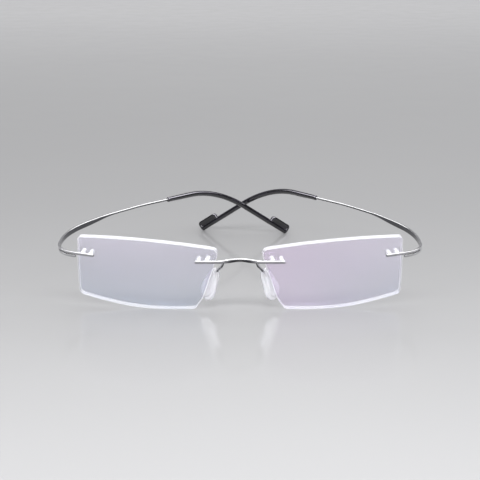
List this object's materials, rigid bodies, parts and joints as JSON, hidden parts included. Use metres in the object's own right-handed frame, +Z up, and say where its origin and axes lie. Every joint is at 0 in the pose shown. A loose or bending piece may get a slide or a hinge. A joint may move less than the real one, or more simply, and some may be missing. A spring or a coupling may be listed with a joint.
{
  "type": "rimless eyeglasses",
  "caption": "Rimless spectacles with drilled lenses, a flat metal bridge, clear nose pads and springy wire temples that bend in behind the head and end in black sleeves with flat paddle tips.",
  "frame": {"origin": "middle of the footprint, on the surface that the glasses rest on", "axes": "+Z up, +Y from the lenses towards the ears, +X towards the wearer's left"},
  "size_m": [0.1404, 0.132, 0.0292],
  "materials": {
    "lens": "clear plastic, antireflective coating, polished edge",
    "titanium": "polished",
    "silicone": "clear, soft gloss",
    "clear_plastic": "clear, glossy",
    "black_plastic": "glossy"
  },
  "bodies": {
    "front": {"bridge": "titanium", "right_lens": "lens", "right_pad_arm": "titanium", "right_pad_insert": "titanium", "right_nose_pad": "silicone", "right_bridge_bushing_inner": "clear_plastic", "right_bridge_bushing_outer": "clear_plastic", "right_temple_bushing_inner": "clear_plastic", "right_temple_bushing_outer": "clear_plastic", "right_endpiece": "titanium", "left_lens": "lens", "left_pad_arm": "titanium", "left_pad_insert": "titanium", "left_nose_pad": "silicone", "left_bridge_bushing_inner": "clear_plastic", "left_bridge_bushing_outer": "clear_plastic", "left_temple_bushing_inner": "clear_plastic", "left_temple_bushing_outer": "clear_plastic", "left_endpiece": "titanium"},
    "left_temple": {"left_temple_wire": "titanium", "left_temple_sleeve": "black_plastic"},
    "right_temple": {"right_temple_wire": "titanium", "right_temple_sleeve": "black_plastic"}
  },
  "joints": [
    {"name": "left_temple_flex", "type": "hinge", "parent": "front", "child": "left_temple", "pos_m": [0.0697, -0.0434, 0.022], "axis": [0, 0, -1], "range_deg": [-4, 40], "stiffness_Nm_per_rad": 0.13},
    {"name": "right_temple_flex", "type": "hinge", "parent": "front", "child": "right_temple", "pos_m": [-0.0697, -0.0434, 0.022], "axis": [0, 0, 1], "range_deg": [-4, 40], "stiffness_Nm_per_rad": 0.13}
  ],
  "couplings": [
    {"joint": "right_temple_flex", "follows": "left_temple_flex", "ratio": 1}
  ]
}
